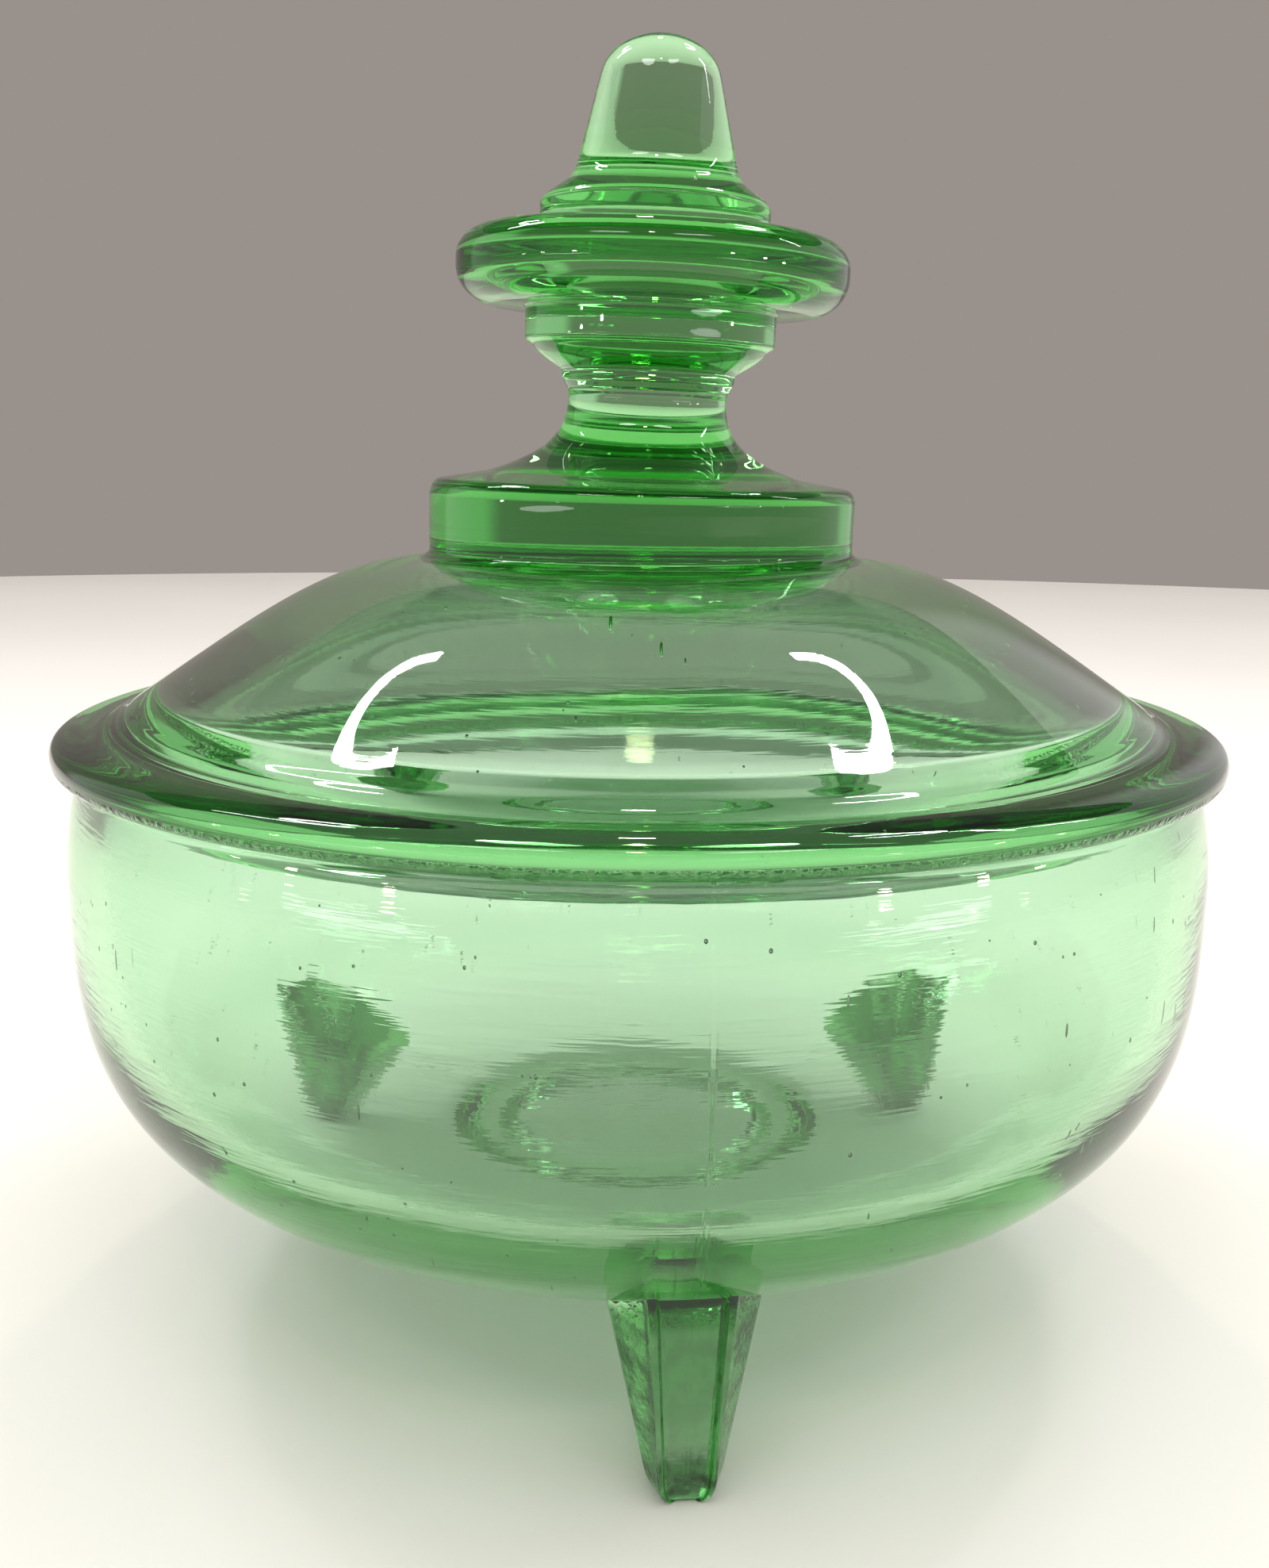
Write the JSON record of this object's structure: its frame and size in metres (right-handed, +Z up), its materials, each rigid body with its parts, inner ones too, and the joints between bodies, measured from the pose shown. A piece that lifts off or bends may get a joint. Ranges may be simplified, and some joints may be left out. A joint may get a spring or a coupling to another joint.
{
  "type": "covered candy dish",
  "caption": "Green pressed-glass candy dish: round bowl on fluted feet with a domed lift-off lid and a solid stepped knob.",
  "frame": {"origin": "on the table plane, under the middle of the dish", "axes": "+Z up along the axis of the bowl and lid; one foot points along -Y"},
  "size_m": [0.14, 0.14, 0.1507],
  "materials": {
    "green_glass": "clear green pressed glass, fire-polished, with faint flow lines"
  },
  "bodies": {
    "bowl": {"bowl": "green_glass"},
    "lid": {"lid": "green_glass"}
  },
  "joints": [
    {"name": "lid_lift", "type": "slide", "parent": "bowl", "child": "lid", "axis": [0, 0, 1], "range_m": [0, 0.1]}
  ]
}
